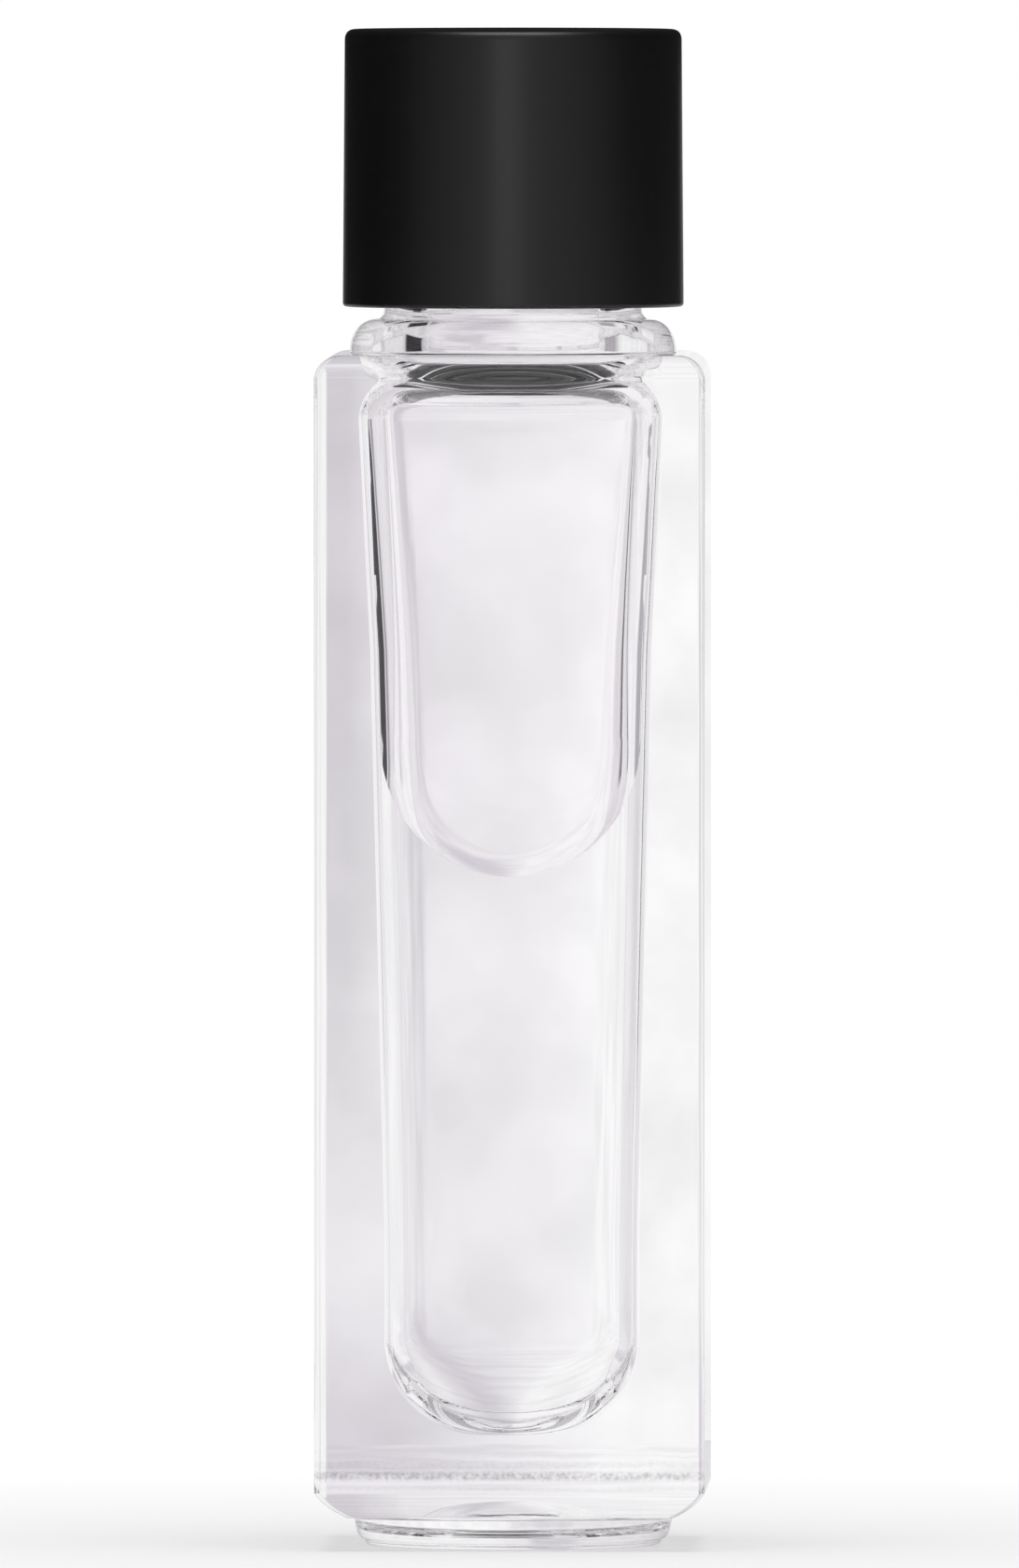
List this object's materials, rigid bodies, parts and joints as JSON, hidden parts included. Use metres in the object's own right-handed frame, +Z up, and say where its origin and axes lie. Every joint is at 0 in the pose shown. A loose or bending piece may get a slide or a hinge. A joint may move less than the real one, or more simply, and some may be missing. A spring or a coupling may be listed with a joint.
{
  "type": "toner bottle",
  "caption": "Tall square heavy-glass bottle with a round collar and foot, holding clear toner, closed by a smooth black screw cap over a liner and a pouring insert.",
  "frame": {"origin": "centre of the foot, on the surface that the bottle stands on", "axes": "+Z up along the bottle and cap axis, -Y out of the front face, +X to the right as seen from the front"},
  "size_m": [0.0282, 0.0282, 0.1098],
  "materials": {
    "clear_glass": "polished",
    "clear_toner": "polished",
    "natural_plastic": "satin",
    "white_foam": "matte",
    "closure_plastic": "satin",
    "black_shell": "satin"
  },
  "bodies": {
    "bottle_body": {"bottle": "clear_glass", "toner": "clear_toner", "orifice_reducer": "natural_plastic"},
    "liner_body": {"liner_disc": "white_foam"},
    "cap_body": {"inner_cap": "closure_plastic", "cap_shell": "black_shell"}
  },
  "joints": [
    {"name": "cap_rise", "type": "slide", "parent": "bottle_body", "child": "liner_body", "axis": [0, 0, 1], "range_m": [0, 0.0048]},
    {"name": "cap_turn", "type": "hinge", "parent": "liner_body", "child": "cap_body", "pos_m": [0, 0, 0.1], "axis": [0, 0, 1], "range_deg": [0, 540]}
  ],
  "couplings": [
    {"joint": "cap_rise", "follows": "cap_turn", "m_per_rad": 0.00050532}
  ]
}
